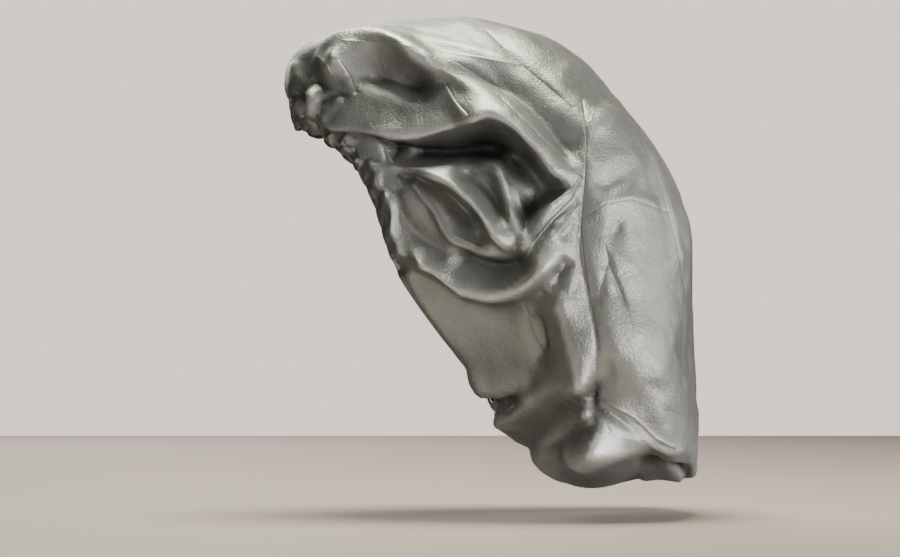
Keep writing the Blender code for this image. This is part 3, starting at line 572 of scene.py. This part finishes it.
# The gathers as shifts out and round. Each puff is its height times its bump. It rises just
# behind its cloth's edge and dies away as exp(-(behind / reach)^1.2), and all the cloth is drawn
# in near the edge. behind is below 0 on the hem.
def gatherShift(angle, behind):
    back = np.maximum(behind, 0)
    out = np.zeros(angle.shape)
    sideways = np.zeros(angle.shape)
    pinch = gathers["pinched"] + (1 - gathers["pinched"]) * smoothStep(back / lipForm["rise"])
    for gather in allGathers():
        fade = np.exp(-((back / (gather.reach / 1000)) ** gathers["fadePower"]))
        puff = gather.height / 1000 * gatherBump(angle, gather, gathers["puffPower"]) * fade * pinch
        out = out + puff
        sideways = sideways + gather.lean * puff
    out = out - gathers["valley"] * np.exp(-back / gathers["valleyReach"])
    loose = 1 - calmShare(angle)
    return out * loose, sideways * loose


# How far forward of the seam the crown's cloth starts, how thick its rolled edge is and how
# ribbed the hem is there: the table's values, and a scallop further forward at each gather.
def lipAt(angle):
    degrees = np.degrees(np.mod(angle, tau))
    places, *columns = zip(*lips)
    cover, height, ribs = (np.interp(degrees, places, column) for column in columns)
    cover = cover / 1000
    scallop = np.full(angle.shape, -lipForm["scallopBack"])
    for gather in allGathers():
        scallop = scallop + gather.lip / 1000 * gatherBump(angle, gather, 2)
    cover = cover + scallop * smoothStep(cover / lipForm["scallopCover"]) * (1 - calmShare(angle))
    return np.clip(cover, 0, bonnetForm["casingWidth"] - lipForm["leastBare"]), height / 1000, ribs


# The hem tube's outer face stands out by a half ellipse over its width.
def casingBulge(back):
    share = np.clip(back / bonnetForm["casingWidth"], 0, 1)
    return casingCloth["outerBulge"] * 2 * np.sqrt(share * (1 - share))


# Small pleats over the seam: a wave round the opening that wanders with the noise.
def pleatHeight(points, angle, behind, ribs):
    wave = np.cos(pleats["waves"] * angle + pleats["wander"] * smoothNoise(points, "pleatWander"))
    fade = np.exp(-np.maximum(behind, 0) / pleats["reach"])
    return pleats["height"] * wave / 2 * fade * ribs


# Each pressed crease is a plane through a spot on the cloth, at right angles to it. Beside it
# the cloth rises by height times exp(-distance / width), sharper on one side, times
# exp(-(run / length)^2) along the crease.
def creaseHeight(points, normals):
    random = np.random.default_rng(creases["seed"])
    total = np.zeros(points.shape[:2])
    for _ in range(creases["count"]):
        row = int(random.uniform(*creases["rowShares"]) * points.shape[0])
        column = int(random.uniform(0, 1) * points.shape[1])
        turn = random.uniform(0, math.pi)
        height = random.uniform(*creases["height"]) * random.choice((-1, 1))
        sharpWidth, softWidth, length = (
            random.uniform(*creases[name]) for name in ("sharpWidth", "softWidth", "length"))
        spot, normal = points[row, column], normals[row, column]
        level = unit(np.cross(normal, creases["grain"]))
        across = math.cos(turn) * level + math.sin(turn) * np.cross(normal, level)
        offset = points - spot
        side = offset @ across
        run = offset @ np.cross(normal, across)
        near = np.abs(offset @ normal) < creases["depth"]
        width = np.where(side > 0, softWidth, sharpWidth)
        share = creases["leftShare"] if spot[0] > 0 else 1
        total = total + share * height * np.exp(-np.abs(side) / width - (run / length) ** 2) * near
    return total


# The columns' angles, closest together on the left: even steps less a sine wave round.
def crownAngles():
    even = np.arange(crownCloth["columns"]) * tau / crownCloth["columns"]
    crowded = crownCloth["crowdedAngle"]
    return even - crownCloth["leftCrowding"] * (np.sin(even - crowded) + math.sin(crowded))


# Cloth relaxes: each inner point is drawn halfway to its four neighbours' mean.
def eased(points, passes):
    for _ in range(passes):
        beside = (np.roll(points, 1, axis=1) + np.roll(points, -1, axis=1))[2:-1]
        mean = (beside + points[1:-2] + points[3:]) / 4
        points = np.vstack([points[:2], (points[2:-1] + mean) / 2, points[-1:]])
    return points


# From -1 in a hollow to 1 on a crest: how far each point is before the mean of those round it.
# The material paints shade into the hollows and a highlight onto the crests by it.
def reliefShare(points, outward):
    before = ((points - eased(points, reliefForm["steps"])) * outward).sum(axis=-1)
    return np.sign(before) * smoothStep(np.abs(before) / reliefForm["full"])


# The outward directions of the crown's grid, with one direction for all of the tail's point.
def crownOutward(points):
    outward = directions(points)[0]
    outward[-1] = unit(outward[-3].mean(axis=0))
    return outward


# The crown's cloth lies over the hem no closer than the clearance. The rise dies away over the
# sink behind the seam, and the least height by its own drop.
def overHem(points, moved, outward, fromEdge, turned, cover):
    width = bonnetForm["casingWidth"]
    covered = smoothStep(cover / lipForm["coveredFrom"])
    clearance = lipForm["clearance"] * turned
    sinking = 1 - smoothStep((fromEdge - width) / lipForm["sink"])
    rise = casingBulge(np.minimum(fromEdge, width / 2)) * sinking + clearance
    moved = moved + outward * (covered * rise)[..., None]
    stands = ((moved - points) * outward).sum(axis=-1)
    lowest = casingBulge(fromEdge) + clearance - lipForm["drop"] * np.maximum(fromEdge - width, 0)
    return moved + outward * (covered * np.maximum(lowest - stands, 0))[..., None]


# The crown is the bag from its lip over the hem to its tail, in rows closer together near the
# lip and crowded to the narrow folds. Gathers, pleats and a lip rolled in by a quarter circle
# move it outwards, then the swells, the folds and the hem under it, and last the fine creases.
def crownGrid():
    angles = crownAngles()
    along, lengths = lengthsFromEdge(angles)
    cover, height, ribs = lipAt(angles)
    edge = bonnetForm["casingWidth"] - crownCloth["underSeam"] - cover
    starts = np.array([np.interp(e, c, along) for e, c in zip(edge, lengths.T)])
    share = np.linspace(0, 1, crownCloth["rows"] + 1)[:, None] ** crownCloth["rowPower"]
    place = starts + (1 - starts) * share
    angle = np.broadcast_to(angles[None, :], place.shape)
    fromEdge = np.array([np.interp(p, along, c) for p, c in zip(place.T, lengths.T)]).T
    behind = np.maximum(fromEdge - edge, 0)
    points = bagSurface(angle, place)
    around = directions(points)[2]
    outward = crownOutward(points)
    for fold in folds:
        if min(fold.above, fold.below) < foldForm["crowdBelow"]:
            points = points + crowdShift(points, outward, fold)

    out, sideways = gatherShift(angle, behind)
    out = out + pleatHeight(points, angle, behind, ribs)
    turned = np.sqrt(1 - (1 - np.clip(behind / lipForm["turn"], 0, 1)) ** 2)
    out = out + height * turned * np.exp(-((behind / lipForm["reach"]) ** lipForm["fadePower"]))
    moved = points + outward * out[..., None] + around * sideways[..., None]

    level = np.zeros_like(points)
    level[..., 0] = np.sign(points[..., 0])
    for fold in swells:
        moved = moved + foldShift(points, level, fold)
    billow = smoothStep(behind / bonnetForm["billowReach"])[..., None]
    for fold in folds:
        moved = moved + billow * foldShift(points, outward, fold)
    moved = overHem(points, moved, outward, fromEdge, turned, cover)
    for fold in hemFolds:
        moved = moved + foldShift(points, outward, fold)

    beforeTip = smoothStep((1 - place) / crownCloth["tipShare"])[..., None]
    moved = eased(points + (moved - points) * beforeTip, 1)
    outward = crownOutward(moved)
    fine = smoothNoise(moved, "dents") * crownCloth["dentHeight"]
    fine = fine + smoothNoise(moved, "wrinkles") * crownCloth["wrinkleHeight"]
    fine = fine + creaseHeight(moved, outward)
    moved = moved + billow * beforeTip * outward * fine[..., None]
    return moved, angle / tau, fromEdge, reliefShare(moved, outward)


def addObject(name, data):
    thing = bpy.data.objects.new(name, data)
    bpy.context.scene.collection.objects.link(thing)
    return thing


# Quads of a grid that closes round, with its last row drawn to one point for a tail, or joined
# to its first for a tube.
def gridMesh(name, points, uvs, ending):
    rows, columns = points.shape[:2]
    index = np.arange(rows * columns).reshape(rows, columns)
    beside = np.roll(index, -1, axis=1)
    if ending == "tube":
        below, belowBeside = np.roll(index, -1, axis=0), np.roll(beside, -1, axis=0)
        quads = np.stack([index, beside, belowBeside, below], axis=-1).reshape(-1, 4)
    else:
        quads = np.stack([index[:-2], beside[:-2], beside[1:-1], index[1:-1]], axis=-1).reshape(-1, 4)
    vertices = points.reshape(-1, 3)
    faces = quads.tolist()
    if ending == "tail":
        tip = (rows - 1) * columns
        vertices = np.vstack([vertices[:tip], points[-1].mean(axis=0)])
        faces += np.stack([index[-2], beside[-2], np.full(columns, tip)], axis=-1).tolist()
    mesh = bpy.data.meshes.new(name)
    mesh.from_pydata(vertices.tolist(), [], faces)
    corner = np.empty(len(mesh.loops), dtype=np.int32)
    mesh.loops.foreach_get("vertex_index", corner)
    flat = uvs.reshape(-1, 2)[:len(vertices)]
    mesh.uv_layers.new(name="cloth").data.foreach_set("uv", flat[corner].ravel().astype(np.float32))
    mesh.shade_smooth()
    return addObject(name, mesh)


# Cloth coordinates in metres: round the opening at a fixed girth, and back from the free edge.
def clothUvs(around, back):
    return np.stack(np.broadcast_arrays(around * bonnetForm["girth"], back), axis=-1)


# The crown's grid given a wall, half to each side, and its crest and hollow shares as an attribute
# for the painted shade in the hollows and the painted highlight on the crests.
def makeCrown():
    points, around, back, paintedShadeAndHighlight = crownGrid()
    piece = gridMesh("satin_crown", points, clothUvs(around, back), "tail")
    shares = piece.data.attributes.new("paintedShadeAndHighlight", "FLOAT", "POINT")
    shares.data.foreach_set("value", paintedShadeAndHighlight.ravel()[:len(piece.data.vertices)].astype(np.float32))
    wall = piece.modifiers.new("wall", "SOLIDIFY")
    wall.thickness = crownCloth["wall"]
    wall.offset = 0
    wall.use_quality_normals = True
    return piece


# The casing is a flattened tube carried round the opening, half an ellipse outwards and a
# flatter one inwards. Where it is bare it stands in round ribs, with narrow valleys of
# 1 - |sin|^power of an angle that wanders and twists, which also scallop its free edge.
def makeCasing():
    form = casingCloth
    columns, steps = form["columns"], form["crossSteps"]
    angles = np.arange(columns) * tau / columns
    cross = np.arange(steps) * tau / steps
    along, lengths = lengthsFromEdge(angles)
    width = bonnetForm["casingWidth"]
    back = width * (0.5 - 0.5 * np.cos(cross))[:, None] * np.ones(columns)
    place = np.array([np.interp(b, c, along) for b, c in zip(back.T, lengths.T)]).T
    angle = np.broadcast_to(angles[None, :], place.shape)
    base = bagSurface(angle, place)
    half = steps // 2 + 1
    rank = np.where(np.arange(steps) < half, np.arange(steps), steps - np.arange(steps))
    outward, forward, around = (part[rank] for part in directions(base[:half]))
    lift = np.sin(cross)[:, None]
    bulge = lift * np.where(lift > 0, form["outerBulge"], form["innerBulge"])
    cover, _, ribs = lipAt(angle)
    bare = 1 - smoothStep((back - (width - cover)) / form["bareFade"] + 1)
    loose = ribs * bare
    twist = form["twist"] * smoothNoise(base, "ribTwist") * back / width
    wander = form["wander"] * smoothNoise(base, "ribWander")
    valley = 1 - np.abs(np.sin(form["waves"] * angle + wander + twist)) ** form["ribPower"]
    depth = 1 + form["uneven"] * (smoothNoise(base, "ribDepth") - 1)
    depth = depth * (1 - form["edgeCalm"] * (1 - np.abs(lift)))
    fineWave = np.cos(form["fineWaves"] * angle + form["fineWander"] * wander - twist)
    fineDepth = form["fineHeight"] * (0.5 + 0.5 * smoothNoise(base, "fineDepth"))
    crinkle = form["crinkle"] * smoothNoise(base, "crinkle")
    out, sideways = gatherShift(angle, back - width)
    out = out * bare + bulge
    out = out + (fineDepth * fineWave + crinkle - form["waveHeight"] * valley * depth) * loose
    free = 1 - smoothStep(back / (form["freeShare"] * width))
    ahead = form["scallop"] * (1 - 2 * valley) * free * loose
    sideways = sideways * bare
    points = base + outward * out[..., None] + forward * ahead[..., None] + around * sideways[..., None]
    for fold in hemFolds:
        points = points + foldShift(base, outward, fold)
    points = points[::-1]
    return gridMesh("satin_casing", points, clothUvs(angle[::-1] / tau, back[::-1]), "tube")


# Links a node's inputs to sockets, or sets them to constants.
def setInputs(tree, node, inputs):
    for name, value in inputs.items():
        if isinstance(value, bpy.types.NodeSocket):
            tree.links.new(value, node.inputs[name])
        else:
            node.inputs[name].default_value = value


def addNode(tree, kind, inputs=(), **settings):
    node = tree.nodes.new("ShaderNode" + kind)
    for name, value in settings.items():
        setattr(node, name, value)
    setInputs(tree, node, dict(inputs))
    return node


def addMath(tree, operation, first, second=0.0, third=0.0):
    return addNode(tree, "Math", {0: first, 1: second, 2: third}, operation=operation).outputs[0]


def addVector(tree, operation, inputs, output=0):
    return addNode(tree, "VectorMath", inputs, operation=operation).outputs[output]


def addRange(tree, value, given, wanted, kind):
    inputs = dict(zip(("Value", "From Min", "From Max", "To Min", "To Max"), (value, *given, *wanted)))
    return addNode(tree, "MapRange", inputs, interpolation_type=kind).outputs[0]


# An empty node group with named inputs and outputs: the group, what it is given, what it gives.
def startGroup(name, inputs, outputs):
    tree = bpy.data.node_groups.new(name, "ShaderNodeTree")
    for socket, kind in inputs:
        tree.interface.new_socket(socket, in_out="INPUT", socket_type="NodeSocket" + kind)
    for socket in outputs:
        tree.interface.new_socket(socket, in_out="OUTPUT", socket_type="NodeSocketFloat")
    return tree, tree.nodes.new("NodeGroupInput").outputs, tree.nodes.new("NodeGroupOutput").inputs


# The distance, seen from the side, from a place to a stretch that starts at one and runs on.
def buildStretchGroup():
    inputs = [(name, "Vector") for name in ("Place", "Start", "Run")]
    tree, given, result = startGroup("stretchDistance", inputs, ["Distance"])
    run = given["Run"]
    level = addVector(tree, "MULTIPLY", {0: given["Place"], 1: (0, 1, 1)})
    offset = addVector(tree, "SUBTRACT", {0: level, 1: given["Start"]})
    along = addMath(tree, "DIVIDE", addVector(tree, "DOT_PRODUCT", {0: offset, 1: run}, 1),
                    addVector(tree, "DOT_PRODUCT", {0: run, 1: run}, 1))
    along = addNode(tree, "Clamp", {0: along}).outputs[0]
    nearest = addVector(tree, "SCALE", {0: run, "Scale": along})
    tree.links.new(addVector(tree, "DISTANCE", {0: offset, 1: nearest}, 1), result["Distance"])
    return tree


# The pressed lines' height in metres: each is its depth times exp(-distance / width).
def pressHeight(tree, place):
    stretch = buildStretchGroup()
    total = 0.0
    for press in presses:
        seen = fromPhoto(press.path)
        nearest = 1.0
        for start, run in zip(seen, np.diff(seen, axis=0)):
            inputs = {"Place": place, "Start": (0, *start), "Run": (0, *run)}
            part = addNode(tree, "Group", inputs, node_tree=stretch)
            nearest = addMath(tree, "MINIMUM", part.outputs[0], nearest)
        line = addMath(tree, "EXPONENT", addMath(tree, "MULTIPLY", nearest, -1000 / press.width))
        total = addMath(tree, "MULTIPLY_ADD", line, -press.depth / 1000, total)
    side = addNode(tree, "SeparateXYZ", {0: place}).outputs[0]
    return addMath(tree, "MULTIPLY", total, addMath(tree, "GREATER_THAN", side, reliefForm["pressedFrom"]))


# The cloth's fine surface as one height in metres and one shade from 0 to 1: a powdery grain,
# threads drawn out across the weave, soft handling marks, a thin crumple of creases along the
# edges of bent cells where a patch noise is high, and the pressed lines.
def buildSatinGroup():
    inputs = [("Place", "Vector"), ("Cloth", "Vector")] + [(name, "Float") for name in satinHeights]
    tree, given, result = startGroup("satinSurface", inputs, ["Height", "Shade"])
    place = given["Place"]

    def noise(name, output=0):
        scale, detail, roughness = satinScales[name]
        values = {"Vector": place, "Scale": scale, "Detail": detail, "Roughness": roughness}
        return addNode(tree, "TexNoise", values).outputs[output]

    grain, marks, patch = noise("grain"), noise("marks"), noise("patch")
    drawn = addNode(tree, "Mapping", {"Vector": given["Cloth"], "Scale": satinScales["threads"]})
    threads = addNode(tree, "TexNoise", {"Vector": drawn.outputs[0], "Scale": 1.0, "Detail": 1.0},
                      noise_dimensions="2D").outputs[0]
    bent = addVector(tree, "MULTIPLY_ADD", {0: noise("bend", 1), 1: [satinScales["bendReach"]] * 3, 2: place})
    cells = addNode(tree, "TexVoronoi", {"Vector": bent, "Scale": satinScales["cells"]},
                    feature="DISTANCE_TO_EDGE").outputs[0]
    line = addRange(tree, cells, (0.0, satinScales["lineWidth"]), (1.0, 0.0), "SMOOTHSTEP")
    shown = addRange(tree, patch, satinScales["shown"], (0.0, 1.0), "LINEAR")
    height = pressHeight(tree, place)
    parts = (grain, threads, marks, addMath(tree, "MULTIPLY", line, shown))
    for name, part in zip(satinHeights, parts):
        height = addMath(tree, "MULTIPLY_ADD", part, given[name], height)
    shade = addMath(tree, "MULTIPLY_ADD", marks, 0.5, addMath(tree, "MULTIPLY", grain, 0.5))
    tree.links.new(height, result["Height"])
    tree.links.new(shade, result["Shade"])
    return tree


def startMaterial(name):
    made = bpy.data.materials.new(name)
    made.use_nodes = True
    return made, made.node_tree, made.node_tree.nodes["Principled BSDF"]


# A glossy metallic satin: its colour follows the mottled tone given as the surface's Shade, with
# painted shade darkening it in the fold hollows and a painted highlight lightening it on the crests,
# and its gloss runs with the cloth's own coordinates.
def makeMaterial(name, look, satinSurface):
    made, tree, shader = startMaterial(name)
    inputs = {height: look[height.lower()] for height in satinHeights}
    inputs["Place"] = addNode(tree, "TexCoord").outputs["Object"]
    inputs["Cloth"] = addNode(tree, "UVMap", uv_map="cloth").outputs[0]
    surface = addNode(tree, "Group", inputs, node_tree=satinSurface).outputs
    shade = surface["Shade"]
    mix = addNode(tree, "Mix", {0: shade, 6: look["deepColour"], 7: look["colour"]}, data_type="RGBA")
    # Painted shade and highlight: the base colour is darkened in the fold hollows and lightened on the crests
    # by the crown's crest and hollow attribute.
    paintedShadeAndHighlight = addNode(tree, "Attribute", attribute_name="paintedShadeAndHighlight").outputs["Fac"]
    light = addMath(tree, "MULTIPLY_ADD", addMath(tree, "MINIMUM", paintedShadeAndHighlight, 0.0), look["hollowPaintedShade"], 1.0)
    light = addMath(tree, "MULTIPLY_ADD", addMath(tree, "MAXIMUM", paintedShadeAndHighlight, 0.0), look["crestPaintedHighlight"], light)
    spread = look["roughnessSpread"]
    bump = {"Strength": 1.0, "Distance": 1.0, "Height": surface["Height"]}
    setInputs(tree, shader, {
        "Base Color": addVector(tree, "SCALE", {0: mix.outputs[2], "Scale": light}),
        "Roughness": addMath(tree, "MULTIPLY_ADD", shade, spread, look["roughness"] - spread / 2),
        "Normal": addNode(tree, "Bump", bump).outputs[0],
        "Tangent": addNode(tree, "Tangent", direction_type="UV_MAP", uv_map="cloth").outputs[0],
        "Metallic": look["metallic"],
        "Anisotropic": look["anisotropy"],
        "Sheen Weight": look["sheen"],
    })
    return made


# A square floor. The camera sees it in one colour. For the light that it throws back it has a
# painted round patch of light beside the bonnet and is darker away from it.
def makeStage():
    size, level = floorForm["halfSize"], floorForm["level"]
    mesh = bpy.data.meshes.new("floor")
    corners = [(x * size, y * size, level) for x, y in ((-1, -1), (1, -1), (1, 1), (-1, 1))]
    mesh.from_pydata(corners, [], [(0, 1, 2, 3)])
    floor = addObject("floor", mesh)
    paint, tree, shader = startMaterial("floor_paint")
    place = addNode(tree, "TexCoord").outputs["Object"]
    away = addVector(tree, "DISTANCE", {0: place, 1: (*floorForm["paintedPoolMiddle"], level)}, 1)
    # Painted light: the bounced colour is bright in a round patch near the bonnet and darker beyond.
    paintedLightPool = addRange(tree, away, floorForm["paintedPoolEdge"], (1.0, floorForm["beyondPaintedPool"]), "SMOOTHSTEP")
    thrown = addVector(tree, "SCALE", {0: floorForm["thrownColour"], "Scale": paintedLightPool})
    colours = {0: addNode(tree, "LightPath").outputs["Is Camera Ray"], 6: thrown, 7: floorForm["seenColour"]}
    mix = addNode(tree, "Mix", colours, data_type="RGBA")
    setInputs(tree, shader, {"Base Color": mix.outputs[2], "Roughness": floorForm["roughness"]})
    mesh.materials.append(paint)


def aimAt(thing, place, target):
    thing.location = place
    thing.rotation_euler = (Vector(target) - Vector(place)).to_track_quat("-Z", "Y").to_euler()


def addSoftbox(softbox):
    light = bpy.data.lights.new(softbox.name, "AREA")
    light.shape = "RECTANGLE"
    light.size, light.size_y = softbox.size
    light.energy = softbox.power
    light.color = softbox.colour
    aimAt(addObject(softbox.name, light), softbox.place, studioForm["aim"])


# A world that the camera sees as a bright wall and that lights only dimly, and the softboxes.
def makeStudio():
    world = bpy.data.worlds.new("studio")
    bpy.context.scene.world = world
    world.use_nodes = True
    tree = world.node_tree
    tree.nodes.clear()
    lit, seen = (addNode(tree, "Background", {"Color": studioForm[colour], "Strength": strength})
                 for colour, strength in (("litColour", studioForm["litStrength"]), ("seenColour", 1.0)))
    camera = addNode(tree, "LightPath").outputs["Is Camera Ray"]
    mix = addNode(tree, "MixShader", {0: camera, 1: lit.outputs[0], 2: seen.outputs[0]})
    addNode(tree, "OutputWorld", {"Surface": mix.outputs[0]})
    for softbox in softboxes:
        addSoftbox(softbox)


# A long lens from the left at the middle of the photo's frame. Its focal length is the sensor's
# width times the distance over the frame's width.
def makeCamera():
    data = bpy.data.cameras.new("photoView")
    camera = addObject("photoView", data)
    distance = studioForm["cameraDistance"]
    centre = fromPhoto((photo["width"] / 2, photo["height"] / 2))[0]
    data.sensor_width = studioForm["sensorWidth"]
    data.lens = data.sensor_width * distance / (photo["width"] * photo["metresPerPixel"])
    aimAt(camera, (distance, *centre), (0, *centre))
    bpy.context.scene.camera = camera


satinSurface = buildSatinGroup()
print("making the crown")
crown = makeCrown()
crown.data.materials.append(makeMaterial("satin", satinLook, satinSurface))
print("making the casing")
casing = makeCasing()
casing.data.materials.append(makeMaterial("casing_satin", casingLook, satinSurface))
for piece, node, slot in ((crown, "crown", "satin"), (casing, "elastic_casing", "casing_satin")):
    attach(piece, "root")
    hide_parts(node)
print("setting the stage")
makeStage()
makeStudio()
makeCamera()
